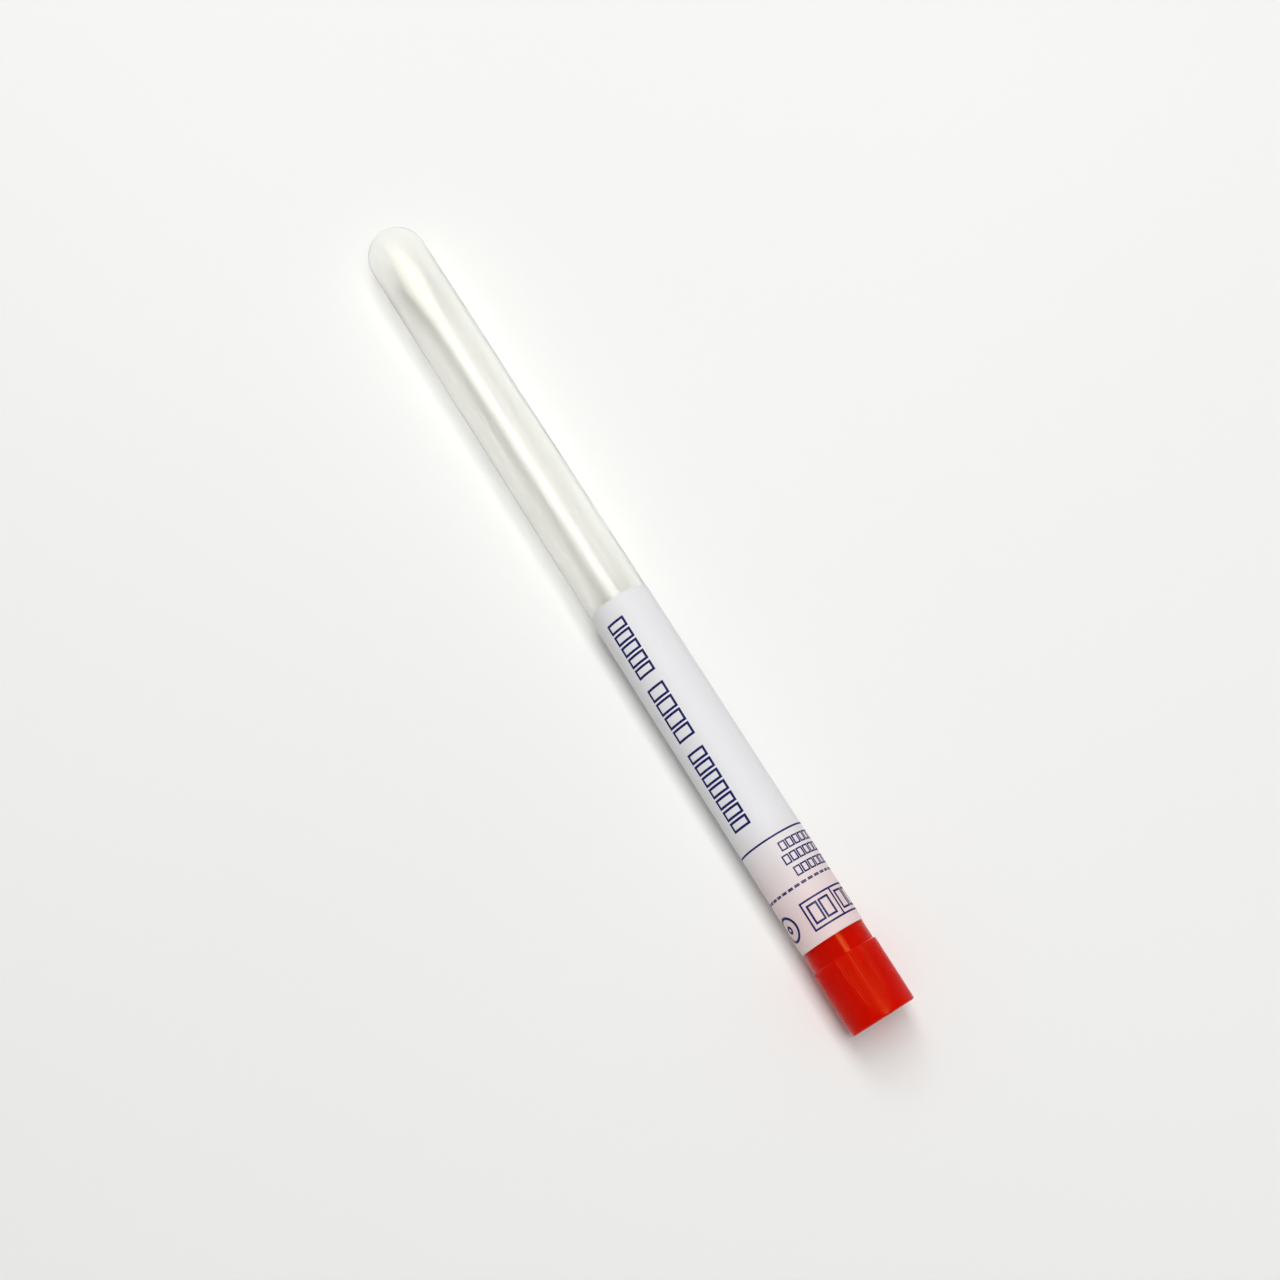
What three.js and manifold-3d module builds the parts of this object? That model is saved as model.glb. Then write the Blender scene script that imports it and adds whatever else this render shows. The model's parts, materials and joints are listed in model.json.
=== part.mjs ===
// Specimen swab tube, lying on its side as it comes to rest on a table.
//
// A round-bottomed tube with a label wrapped around it is closed by a push-in cap. The cap holds the swab: a plastic
// stick with a wound fibre bud on its end. The label runs on past the tube's mouth onto the cap's collar, where it is
// a seal band that tears away from the label when the cap is pulled out.
//
// Millimetres, +Z up. +X runs from the tube's round end towards the cap, and the origin is under the middle of the
// whole object. Every piece is turned about its own +Y axis, on which stations are measured.

import * as THREE from "three";
import { mergeVertices } from "three/addons/utils/BufferGeometryUtils.js";
import Module from "manifold-3d";

const wasm = await Module();
wasm.setup();

// ---- Driving dimensions ----

// Tube
const tubeLength = 150; // round end to mouth
const tubeDiameter = 12; // outside, at the mouth
const tubeDraft = 0.15; // how much smaller the radius is at the round end
const tubeWall = 1;
const tubeRimChamfer = 0.2;

// Label and seal band, cut from one strip
const labelLength = 60.7; // back from the tube's mouth
const labelThickness = 0.08;
const labelSeamGap = 1.2; // bare strip between the two ends of the wrap
const labelSeamAngle = 230; // degrees round the axis from the top, on the far lower side
const sealBandLength = 10.1;
const glueGap = 0.02; // between a label and what it is stuck to

// Cap
const plugLength = 14; // reach into the tube
const plugClearance = 0.05; // between the plug and the bore
const plugLead = 0.8; // chamfer on the plug's nose
const capWall = 1.1; // plug wall
const collarLength = 13.7; // shoulder to grip
const collarInset = 0.05; // how far the collar stands inside the tube's outside
const gripLength = 12.3;
const gripRise = 0.3; // how far the rib crests stand out from the collar
const gripRamp = 0.2; // slope of the step from the collar to the grip
const gripEndRadius = 0.35; // rounding of the closed end's edge
const endBandLength = 0.9; // plain band between the ribs and the closed end
const ribDepth = 0.15;
const grooveMouthWidth = 0.3;
const grooveFloorWidth = 0.1;
const mouthGap = 0.3; // between the tube's mouth and the cap's shoulder, and along the tear line

// Swab
const stickDiameter = 2.5;
const stickClearance = 0.04; // around the stick in the cap's socket and in the bud
const stickEndGap = 0.3; // past each end of the stick
const socketDepth = 22; // from the socket's mouth to its blind end
const socketWall = 0.95;
const budDiameter = 4.8;
const budLength = 15.5;
const budNeckWall = 0.26; // fibre round the stick at the bud's neck
const budTipGap = 4; // between the bud's tip and the tube's inside end
const stickInBud = 12.5; // how far the stick reaches into the bud

// Facets around every turned piece. The grip has one rib to each.
const facets = 72;
const curveSteps = 5; // straight steps to a Bezier curve, and twice as many to a quarter circle

// ---- Sizes that follow ----

const mouthRadius = tubeDiameter / 2;
const roundEndRadius = mouthRadius - tubeDraft;
const collarRadius = mouthRadius - collarInset;
const gripRadius = collarRadius + gripRise;
const capLength = collarLength + gripLength; // shoulder to closed end
const stickRadius = stickDiameter / 2;
const socketRadius = stickRadius + stickClearance;
const shoulderStation = tubeLength + mouthGap;
const budTipStation = tubeWall + budTipGap;
const socketMouth = -plugLength; // on the cap, level with the plug's nose
const socketEnd = socketMouth + socketDepth;

// The tube's outside radius at a station between the round end and the mouth.
function tubeOutside(station) {
  const share = (station - roundEndRadius) / (tubeLength - roundEndRadius);
  return roundEndRadius + tubeDraft * share;
}

function tubeBore(station) {
  return tubeOutside(station) - tubeWall;
}

// ---- Making solids ----

// An outline in the half plane (radius, station) turned about +Y. Two facets meet at the very top and bottom, so the
// object stands at its full radius above the surface that it lies on.
function turned(outline) {
  return new THREE.LatheGeometry(outline, facets);
}

// A thin ring that starts and ends at the given stations, with its inside radius at each.
function turnedRing(start, end, insideAtStart, insideAtEnd, thickness) {
  const corner = new THREE.Vector2(insideAtStart, start);
  return turned([
    corner,
    new THREE.Vector2(insideAtStart + thickness, start),
    new THREE.Vector2(insideAtEnd + thickness, end),
    new THREE.Vector2(insideAtEnd, end),
    corner,
  ]);
}

function toSolid(geometry) {
  const bare = geometry.clone();
  bare.deleteAttribute("normal");
  bare.deleteAttribute("uv");
  const merged = mergeVertices(bare);
  return new wasm.Manifold(new wasm.Mesh({
    numProp: 3,
    vertProperties: new Float32Array(merged.attributes.position.array),
    triVerts: new Uint32Array(merged.index.array),
  }));
}

function toGeometry(solid) {
  const mesh = solid.getMesh();
  const geometry = new THREE.BufferGeometry();
  geometry.setAttribute("position", new THREE.BufferAttribute(mesh.vertProperties, 3));
  geometry.setIndex(new THREE.BufferAttribute(mesh.triVerts, 1));
  geometry.computeVertexNormals();
  return geometry;
}

// ---- The pieces ----

function tubeGeometry() {
  const rimOutside = mouthRadius - tubeRimChamfer;
  const rimInside = tubeBore(tubeLength) + tubeRimChamfer;
  const outline = new THREE.Path();
  outline.moveTo(0, 0);
  outline.absarc(0, roundEndRadius, roundEndRadius, -Math.PI / 2, 0, false);
  outline.lineTo(mouthRadius, tubeLength - tubeRimChamfer);
  outline.lineTo(rimOutside, tubeLength);
  outline.lineTo(rimInside, tubeLength);
  outline.lineTo(tubeBore(tubeLength), tubeLength - tubeRimChamfer);
  outline.lineTo(tubeBore(roundEndRadius), roundEndRadius);
  outline.absarc(0, roundEndRadius, roundEndRadius - tubeWall, 0, -Math.PI / 2, true);
  return turned(outline.getPoints(curveSteps));
}

// A bar along the axis that parts a label's ring at its seam.
function seamBar(start, end, reach) {
  const margin = 1;
  const bar = new THREE.BoxGeometry(labelSeamGap, end - start + 2 * margin, reach);
  bar.translate(0, (start + end) / 2, reach / 2);
  bar.rotateY(THREE.MathUtils.degToRad(labelSeamAngle));
  return bar;
}

function wrappedStrip(start, end, insideAtStart, insideAtEnd) {
  const ring = toSolid(turnedRing(start, end, insideAtStart, insideAtEnd, labelThickness));
  const reach = 2 * Math.max(insideAtStart, insideAtEnd);
  return toGeometry(ring.subtract(toSolid(seamBar(start, end, reach))));
}

function labelGeometry() {
  const start = tubeLength - labelLength;
  return wrappedStrip(start, tubeLength, tubeOutside(start) + glueGap, mouthRadius + glueGap);
}

// The band keeps the label's own radius, so that the two meet along the tear line.
function sealBandGeometry() {
  return wrappedStrip(0, sealBandLength, mouthRadius + glueGap, mouthRadius + glueGap);
}

// The cap's turned body, from the bottom of its blind socket round to the middle of its closed end. Between the socket's
// wall and the plug's wall a hollow runs in from the tube side, so that the plug can give as it is pushed in.
function capBody() {
  const plugNose = tubeBore(shoulderStation - plugLength) - plugClearance;
  const plugRoot = tubeBore(shoulderStation) - plugClearance;
  const hollowRadius = plugNose - capWall;
  const socketOutside = socketRadius + socketWall;
  const outline = new THREE.Path();
  outline.moveTo(0, socketEnd);
  outline.lineTo(socketRadius, socketEnd);
  outline.lineTo(socketRadius, socketMouth);
  outline.lineTo(socketOutside, socketMouth);
  outline.lineTo(socketOutside, socketEnd);
  outline.lineTo(hollowRadius, socketEnd);
  outline.lineTo(hollowRadius, -plugLength);
  outline.lineTo(plugNose - plugLead / 2, -plugLength);
  outline.lineTo(plugNose, plugLead - plugLength);
  outline.lineTo(plugRoot, 0);
  outline.lineTo(collarRadius, 0);
  outline.lineTo(collarRadius, collarLength);
  outline.lineTo(gripRadius, collarLength + gripRamp);
  outline.lineTo(gripRadius, capLength - gripEndRadius);
  outline.absarc(gripRadius - gripEndRadius, capLength - gripEndRadius, gripEndRadius, 0, Math.PI / 2, false);
  outline.lineTo(0, capLength);
  return turned(outline.getPoints(2));
}

// The ring that the grip's grooves are cut with. Its inside is the ribbed outline, with a groove at each edge between
// two facets of the grip, so that the middle of each facet is left as a crest.
function grooveCutter() {
  const floorRadius = gripRadius - ribDepth;
  const halfMouth = grooveMouthWidth / 2 / gripRadius;
  const halfFloor = grooveFloorWidth / 2 / floorRadius;
  const groove = [[-halfMouth, gripRadius], [-halfFloor, floorRadius], [halfFloor, floorRadius], [halfMouth, gripRadius]];
  const ribbed = [];
  for (let i = 0; i < facets; i++) {
    const middle = i * 2 * Math.PI / facets;
    for (const [turn, radius] of groove) {
      ribbed.push(new THREE.Vector2(radius * Math.cos(middle + turn), radius * Math.sin(middle + turn)));
    }
  }
  const clearance = 1; // outside the grip, and beyond the grooves' open end
  const ring = new THREE.Shape().absarc(0, 0, gripRadius + clearance, 0, 2 * Math.PI, false);
  ring.holes.push(new THREE.Path(ribbed));
  const length = gripLength - endBandLength + clearance;
  const cutter = new THREE.ExtrudeGeometry(ring, { depth: length, bevelEnabled: false });
  cutter.rotateX(-Math.PI / 2);
  cutter.translate(0, collarLength - clearance, 0);
  return cutter;
}

function capGeometry() {
  return toGeometry(toSolid(capBody()).subtract(toSolid(grooveCutter())));
}

// The stick, from inside the bud to the bottom of the cap's socket.
const stickStart = budTipStation + budLength - stickInBud;
const stickEnd = shoulderStation + socketEnd - stickEndGap;

function stickGeometry() {
  return turned([
    new THREE.Vector2(0, stickStart),
    new THREE.Vector2(stickRadius, stickStart),
    new THREE.Vector2(stickRadius, stickEnd),
    new THREE.Vector2(0, stickEnd),
  ]);
}

// A pear-shaped bud, fattest near its tip, with the blind bore that the stick fills.
function budGeometry() {
  const boreRadius = stickRadius + stickClearance;
  const boreEnd = budLength - stickInBud - stickEndGap;
  const fullRadius = budDiameter / 2;
  const neckRadius = boreRadius + budNeckWall;
  const fattest = 0.38 * budLength;
  const outline = new THREE.Path();
  outline.moveTo(0, 0);
  outline.bezierCurveTo(0.75 * fullRadius, 0, fullRadius, 0.35 * fattest, fullRadius, fattest);
  outline.bezierCurveTo(fullRadius, 0.7 * budLength, neckRadius, 0.8 * budLength, neckRadius, budLength);
  outline.lineTo(boreRadius, budLength);
  outline.lineTo(boreRadius, boreEnd);
  outline.lineTo(0, boreEnd);
  return turned(outline.getPoints(curveSteps));
}

// ---- Materials ----

const frostedPolypropylene = new THREE.MeshStandardMaterial({
  color: 0xe2e5e1, roughness: 0.4, metalness: 0, transparent: true, opacity: 0.55,
});
const labelPaper = new THREE.MeshStandardMaterial({ color: 0xf0efee, roughness: 0.6, metalness: 0 });
const redPolyethylene = new THREE.MeshStandardMaterial({ color: 0xc81a08, roughness: 0.35, metalness: 0 });
const whitePolystyrene = new THREE.MeshStandardMaterial({ color: 0xf6f6f0, roughness: 0.35, metalness: 0 });
const woundFibre = new THREE.MeshStandardMaterial({ color: 0xfbfaf3, roughness: 1, metalness: 0 });

// ---- Placing ----

function piece(name, geometry, material, station = 0) {
  const mesh = new THREE.Mesh(geometry, material);
  mesh.name = name;
  mesh.position.y = station;
  return mesh;
}

// How far the axis rises towards the cap when the object lies on a flat surface. The surface touches the outline
// along the line that is highest under the balance point.
function restingTilt() {
  const outline = [
    [roundEndRadius, roundEndRadius],
    [tubeLength - labelLength, tubeOutside(tubeLength - labelLength) + glueGap + labelThickness],
    [shoulderStation + sealBandLength, mouthRadius + glueGap + labelThickness],
    [shoulderStation + collarLength + gripRamp, gripRadius],
    [shoulderStation + capLength - gripEndRadius, gripRadius],
  ];
  const balance = (shoulderStation + capLength) / 2;
  let support = { height: 0, slope: 0 };
  for (const [left, leftRadius] of outline) {
    for (const [right, rightRadius] of outline) {
      if (left <= balance && right > balance) {
        const slope = (rightRadius - leftRadius) / (right - left);
        const height = leftRadius + slope * (balance - left);
        if (height > support.height) {
          support = { height, slope };
        }
      }
    }
  }
  return Math.atan(support.slope);
}

const swab = new THREE.Group();
swab.add(piece("swab_stick", stickGeometry(), whitePolystyrene));
swab.add(piece("swab_bud", budGeometry(), woundFibre, budTipStation));
swab.add(piece("cap", capGeometry(), redPolyethylene, shoulderStation));
swab.add(piece("seal_band", sealBandGeometry(), labelPaper, shoulderStation));

const upright = new THREE.Group();
upright.add(piece("tube", tubeGeometry(), frostedPolypropylene));
upright.add(piece("label", labelGeometry(), labelPaper));
upright.add(swab);
upright.rotation.z = -Math.PI / 2; // +Y becomes +X

const lying = new THREE.Group();
lying.add(upright);
lying.rotation.y = -restingTilt();

const specimenSwabTube = new THREE.Group();
specimenSwabTube.add(lying);
const bounds = new THREE.Box3().setFromObject(specimenSwabTube, true);
const middle = bounds.getCenter(new THREE.Vector3());
lying.position.set(-middle.x, -middle.y, -bounds.min.z);

export default specimenSwabTube;
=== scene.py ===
"""Specimen swab tube: a frosted round-bottomed tube with a wrapped label, closed by a red ribbed cap
that carries a swab stick with a wound fibre bud.

Laid out as a Blender add-on and run as a script. Metres, +Z up. Every piece is made in the tube's own
frame, where x is the station, the distance from the round end along the axis, and the angle round the
axis is counted from the top towards the near side, -y. LIE then lays the pieces where the CAD parts lie.
"""

import json
import math
import random

import bmesh
import bpy
from mathutils import Matrix, Vector


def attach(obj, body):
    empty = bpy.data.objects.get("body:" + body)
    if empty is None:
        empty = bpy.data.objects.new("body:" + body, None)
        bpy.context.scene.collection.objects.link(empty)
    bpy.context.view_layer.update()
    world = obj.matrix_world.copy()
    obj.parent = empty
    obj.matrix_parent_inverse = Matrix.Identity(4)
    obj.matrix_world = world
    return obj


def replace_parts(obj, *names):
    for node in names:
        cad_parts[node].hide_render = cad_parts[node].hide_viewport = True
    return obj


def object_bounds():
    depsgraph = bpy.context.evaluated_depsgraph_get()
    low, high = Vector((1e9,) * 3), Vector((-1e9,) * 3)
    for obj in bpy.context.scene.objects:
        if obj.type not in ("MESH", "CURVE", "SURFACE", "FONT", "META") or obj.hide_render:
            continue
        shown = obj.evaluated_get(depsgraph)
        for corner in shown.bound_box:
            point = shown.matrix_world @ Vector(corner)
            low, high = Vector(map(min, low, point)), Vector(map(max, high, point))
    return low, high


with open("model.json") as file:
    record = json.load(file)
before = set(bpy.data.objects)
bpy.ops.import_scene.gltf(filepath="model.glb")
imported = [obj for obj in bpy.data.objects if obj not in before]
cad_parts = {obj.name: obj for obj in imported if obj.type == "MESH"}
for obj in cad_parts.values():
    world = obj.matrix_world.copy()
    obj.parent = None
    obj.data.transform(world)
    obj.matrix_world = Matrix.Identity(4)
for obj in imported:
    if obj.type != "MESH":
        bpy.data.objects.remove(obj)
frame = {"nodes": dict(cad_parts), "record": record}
CAD_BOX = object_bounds()

bl_info = {
    "name": "Specimen swab tube",
    "version": (1, 0, 0),
    "blender": (4, 5, 0),
    "location": "3D View > Sidebar > Swab Tube",
    "description": "Builds a specimen tube with its label, print, cap and swab, and a plain stage",
    "category": "Add Mesh",
}

MM = 0.001
FULL_TURN = 2 * math.pi
TUBE_BODY = "tube_body"
CAP_BODY = "swab_cap"
# The lamps hang over a point beyond the round end, towards the far side.
LAMP_MIDDLE = Vector((-0.32, 0.12, 0.85))
LAMP_LENGTH = 1.4


# ---- Measures taken from the CAD parts ----


def lying_frame():
    """The matrix from the tube's own frame to the lying object's. The cap's end face gives the axis."""
    end_face = next(m for m in frame["record"]["mounts"] if m["name"] == "cap_end")
    along = Vector(end_face["axis"]).normalized()
    across = Vector((0.0, 1.0, 0.0))
    upward = along.cross(across).normalized()
    middle = Vector(end_face["pos_m"])
    overall = max((middle - v.co).dot(along) for v in frame["nodes"]["tube"].data.vertices)
    turn = Matrix((along, across, upward)).transposed().to_4x4()
    return Matrix.Translation(middle - along * overall) @ turn


LIE = lying_frame()


def corners_of(node):
    """The (station, radius, angle) of each of a CAD part's corners."""
    back = LIE.inverted()
    found = []
    for vertex in frame["nodes"][node].data.vertices:
        x, y, z = back @ vertex.co
        found.append((x, math.hypot(y, z), math.atan2(-y, z) % FULL_TURN))
    return found


CORNERS = {node: corners_of(node) for node in frame["nodes"]}


def ends_of(node):
    """The stations of a CAD part's two ends."""
    stations = [station for station, _, _ in CORNERS[node]]
    return min(stations), max(stations)


def radii_at(node, station):
    """The different radii, smallest first, of a CAD part's corners that lie at a station."""
    near = 0.02 * MM
    radii = sorted(r for s, r, _ in CORNERS[node] if abs(s - station) < near)
    return [r for i, r in enumerate(radii) if i == 0 or r - radii[i - 1] > near]


def widest(node, high=math.inf):
    """A CAD part's largest radius, up to a station where one is given."""
    return max(r for s, r, _ in CORNERS[node] if s <= high)


def seam_of(node):
    """The angles of a wrapped strip's two ends, going round from the first to the last."""
    angles = sorted(angle for _, _, angle in CORNERS[node])
    gaps = [(b - a, a, b) for a, b in zip(angles, angles[1:])]
    _, last, first = max(gaps)
    return first - FULL_TURN, last


# ---- Nodes, colours and materials ----


def linear(hex_colour):
    """A linear RGBA colour from an sRGB hex value."""
    shares = [int(hex_colour[i : i + 2], 16) / 255 for i in (1, 3, 5)]
    bent = [c / 12.92 if c <= 0.04045 else ((c + 0.055) / 1.055) ** 2.4 for c in shares]
    return (*bent, 1.0)


def add_node(tree, kind, inputs=None, **settings):
    """Adds one node. An input is a value, an output to link, or a node whose first output is linked."""
    made = tree.nodes.new(kind)
    for name, value in settings.items():
        setattr(made, name, value)
    for socket, value in (inputs or {}).items():
        if isinstance(value, bpy.types.Node):
            value = value.outputs[0]
        if isinstance(value, bpy.types.NodeSocket):
            tree.links.new(value, made.inputs[socket])
        else:
            made.inputs[socket].default_value = value
    return made


def new_material(name):
    """A material without a shader yet: (material, its node tree, the object coordinates in metres)."""
    made = bpy.data.materials.new(name)
    made.use_nodes = True
    tree = made.node_tree
    tree.nodes.clear()
    place = add_node(tree, "ShaderNodeTexCoord").outputs["Object"]
    return made, tree, place


def grain(tree, place, size, detail=2.0, stretch=(1.0, 1.0, 1.0)):
    """Blotches about size across, in metres, drawn out along an axis where stretch is under 1."""
    scaled = add_node(tree, "ShaderNodeMapping", {"Vector": place, "Scale": stretch})
    sockets = {"Vector": scaled, "Scale": 1 / size, "Detail": detail, "Roughness": 0.55}
    return add_node(tree, "ShaderNodeTexNoise", sockets)


def drifting(tree, pattern, first, last):
    """A number or a colour that drifts from first to last and back as a pattern does."""
    coloured = isinstance(first, tuple)
    low, high = (0.0, 1.0) if coloured else (first, last)
    # most of a grain pattern lies between 0.3 and 0.7
    ends = {"Value": pattern, "From Min": 0.3, "From Max": 0.7, "To Min": low, "To Max": high}
    drift = add_node(tree, "ShaderNodeMapRange", ends)
    if not coloured:
        return drift
    # the mix node's colour sockets share their names with its number sockets, so they go by number
    return add_node(tree, "ShaderNodeMix", {0: drift, 6: first, 7: last}, data_type="RGBA").outputs[2]


def shade_of(colour, share):
    """The same linear colour at a share of its brightness."""
    return (*(c * share for c in colour[:3]), 1.0)


def background_ray(tree):
    """1 for the rays that show the background: those from the camera, in gloss and through the tube."""
    ray = add_node(tree, "ShaderNodeLightPath").outputs
    direct = {0: ray["Is Camera Ray"], 1: ray["Is Glossy Ray"]}
    shown = add_node(tree, "ShaderNodeMath", direct, operation="MAXIMUM")
    every = {0: shown, 1: ray["Is Transmission Ray"]}
    return add_node(tree, "ShaderNodeMath", every, operation="MAXIMUM")


def frosted_polypropylene(settings, dome, middle):
    """Natural polypropylene, injection moulded between a spark-textured cavity and a polished core: the
    outside blurs what is behind it, the inside is smooth, and the wall itself is faintly milky. dome is
    the round end's radius, and middle is the radius halfway through the wall."""
    made, tree, place = new_material("frosted polypropylene, moulded")
    # The mould's texture is about 0.05 mm; it is drawn at 0.25 mm so that it shows.
    texture = grain(tree, place, 0.25 * MM, detail=3.0)
    # Milky streaks from the flow of the melt, a few millimetres wide and drawn out along the tube.
    flow = grain(tree, place, 3 * MM, stretch=(0.12, 1.0, 1.0))
    # How far a point is from the axis or, in the round end, from the centre of the round.
    parts = add_node(tree, "ShaderNodeSeparateXYZ", {"Vector": place}).outputs
    beyond = add_node(tree, "ShaderNodeMath", {0: parts["X"], 1: dome}, operation="SUBTRACT")
    beyond = add_node(tree, "ShaderNodeMath", {0: beyond, 1: 0.0}, operation="MINIMUM")
    reach = add_node(tree, "ShaderNodeCombineXYZ", {"X": beyond, "Y": parts["Y"], "Z": parts["Z"]})
    reach = add_node(tree, "ShaderNodeVectorMath", {0: reach}, operation="LENGTH").outputs["Value"]
    # 0 on the wall's inside and 1 on its outside
    blend = 0.02 * MM
    faces = {"Value": reach, "From Min": middle - blend, "From Max": middle + blend}
    outside = add_node(tree, "ShaderNodeMapRange", faces)
    uneven = 0.04
    frosted = drifting(tree, texture, settings.frost - uneven, settings.frost + uneven)
    polished = 0.12
    finish = {"Value": outside, "To Min": polished, "To Max": frosted}
    clear = linear(settings.plastic_hex)
    grit = {"Height": texture, "Distance": 0.002 * MM, "Strength": 0.4}
    surface = {
        "Base Color": drifting(tree, flow, clear, shade_of(clear, 0.97)),
        "Roughness": add_node(tree, "ShaderNodeMapRange", finish),
        # Polypropylene's own index is 1.49. With it each of the wall's faces would mirror so much light
        # away that the tube would look grey, where a milky wall passes that light on.
        "IOR": 1.08,
        "Transmission Weight": settings.clearness,
        "Normal": add_node(tree, "ShaderNodeBump", grit),
    }
    shader = add_node(tree, "ShaderNodeBsdfPrincipled", surface)
    add_node(tree, "ShaderNodeOutputMaterial", {"Surface": shader})
    return made


def label_paper(settings, rosy_from, rosy_to):
    """Wood-free label paper, coated and calendered: matt, and faintly mottled by its fibres. It is thin
    enough for the red cap under it to show through as a pink cast, which grows between two stations."""
    made, tree, place = new_material("label paper, coated")
    # Paper fibres are about 1 mm long and 0.03 mm wide; the mottle that they make is about 0.4 mm.
    mottle = grain(tree, place, 0.4 * MM, detail=4.0)
    # The fibres themselves are drawn 0.12 mm wide so that they show.
    fibre = grain(tree, place, 0.12 * MM, detail=3.0, stretch=(0.35, 1.0, 1.0))
    station = add_node(tree, "ShaderNodeSeparateXYZ", {"Vector": place})
    reach = {"Value": station, "From Min": rosy_from, "From Max": rosy_to}
    cast = add_node(tree, "ShaderNodeMapRange", reach)
    white = linear(settings.paper_hex)
    paper = drifting(tree, mottle, white, shade_of(white, 0.975))
    colours = {0: cast, 6: paper, 7: linear(settings.rosy_hex)}
    nap = {"Height": fibre, "Distance": 0.003 * MM, "Strength": 0.4}
    surface = {
        "Base Color": add_node(tree, "ShaderNodeMix", colours, data_type="RGBA").outputs[2],
        "Roughness": drifting(tree, mottle, 0.52, 0.62),
        "IOR": 1.5,
        "Specular IOR Level": 0.15,
        "Normal": add_node(tree, "ShaderNodeBump", nap),
    }
    shader = add_node(tree, "ShaderNodeBsdfPrincipled", surface)
    add_node(tree, "ShaderNodeOutputMaterial", {"Surface": shader})
    return made


def printing_ink(settings):
    """Navy flexographic ink on coated paper: a thin satin film, a touch lighter where the paper's fibres
    take less of it."""
    made, tree, place = new_material("navy label ink, printed")
    # Ink lies unevenly over the paper's mottle, about 0.3 mm across.
    uneven = grain(tree, place, 0.3 * MM, detail=3.0)
    ink = linear(settings.ink_hex)
    film = {"Height": uneven, "Distance": 0.002 * MM, "Strength": 0.4}
    surface = {
        "Base Color": drifting(tree, uneven, ink, shade_of(ink, 1.35)),
        "Roughness": drifting(tree, uneven, 0.42, 0.55),
        "IOR": 1.5,
        "Specular IOR Level": 0.2,
        "Normal": add_node(tree, "ShaderNodeBump", film),
    }
    shader = add_node(tree, "ShaderNodeBsdfPrincipled", surface)
    add_node(tree, "ShaderNodeOutputMaterial", {"Surface": shader})
    return made


def red_polyethylene(settings):
    """Red low-density polyethylene, injection moulded in a polished cavity: waxy and fairly glossy, with
    a clean highlight that stays orange because the plastic is tinted through."""
    made, tree, place = new_material("red polyethylene, moulded")
    # The waxy skin's orange peel is about 0.6 mm across, and the melt's flow lines run along the cap.
    peel = grain(tree, place, 0.6 * MM)
    flow = grain(tree, place, 1.2 * MM, detail=3.0, stretch=(0.15, 1.0, 1.0))
    red = linear(settings.plastic_hex)
    skin = {"Height": peel, "Distance": 0.004 * MM, "Strength": 0.5}
    surface = {
        "Base Color": drifting(tree, flow, red, shade_of(red, 0.9)),
        # Light gets a few millimetres into the plastic and leaves it red, so shadows by the cap glow.
        "Subsurface Weight": settings.glow,
        "Subsurface Radius": (1.0, 0.12, 0.05),
        "Subsurface Scale": 5 * MM,
        "Roughness": drifting(tree, flow, 0.1, 0.15),
        "IOR": 1.51,
        "Specular IOR Level": 0.1,
        "Specular Tint": linear("#FFAA5A"),
        "Normal": add_node(tree, "ShaderNodeBump", skin),
    }
    shader = add_node(tree, "ShaderNodeBsdfPrincipled", surface)
    add_node(tree, "ShaderNodeOutputMaterial", {"Surface": shader})
    return made


def white_polystyrene(settings):
    """White polystyrene rod, extruded and cut: opaque and satin, with faint long lines from the die."""
    made, tree, place = new_material("white polystyrene, extruded")
    # The die's lines run along the rod about 0.1 mm apart. They are drawn at 0.15 mm so that they show.
    lines = grain(tree, place, 0.15 * MM, stretch=(0.01, 1.0, 1.0))
    white = linear(settings.stick_hex)
    drawn = {"Height": lines, "Distance": 0.004 * MM, "Strength": 0.5}
    surface = {
        "Base Color": drifting(tree, lines, white, shade_of(white, 0.985)),
        "Roughness": drifting(tree, lines, 0.32, 0.42),
        "IOR": 1.59,
        "Normal": add_node(tree, "ShaderNodeBump", drawn),
    }
    shader = add_node(tree, "ShaderNodeBsdfPrincipled", surface)
    add_node(tree, "ShaderNodeOutputMaterial", {"Surface": shader})
    return made


def wound_viscose(settings):
    """Viscose fibre wound on to the stick: soft, matt, white, with a sheen where strands turn away."""
    made, tree, place = new_material("viscose fibre, wound")
    # Single fibres are about 0.02 mm thick; they are drawn at 0.06 mm so that they show.
    strands = grain(tree, place, 0.06 * MM, detail=3.0, stretch=(0.3, 1.0, 1.0))
    # Where the winding is denser or looser, about 0.9 mm across.
    clumps = grain(tree, place, 0.9 * MM)
    white = linear(settings.fibre_hex)
    wound = {"Height": strands, "Distance": 0.01 * MM, "Strength": 0.6}
    surface = {
        "Base Color": drifting(tree, clumps, white, shade_of(white, 0.95)),
        "Roughness": 0.95,
        "IOR": 1.53,
        "Specular IOR Level": 0.2,
        "Sheen Weight": 0.3,
        "Sheen Roughness": 0.5,
        "Normal": add_node(tree, "ShaderNodeBump", wound),
    }
    shader = add_node(tree, "ShaderNodeBsdfPrincipled", surface)
    add_node(tree, "ShaderNodeOutputMaterial", {"Surface": shader})
    return made


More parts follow.
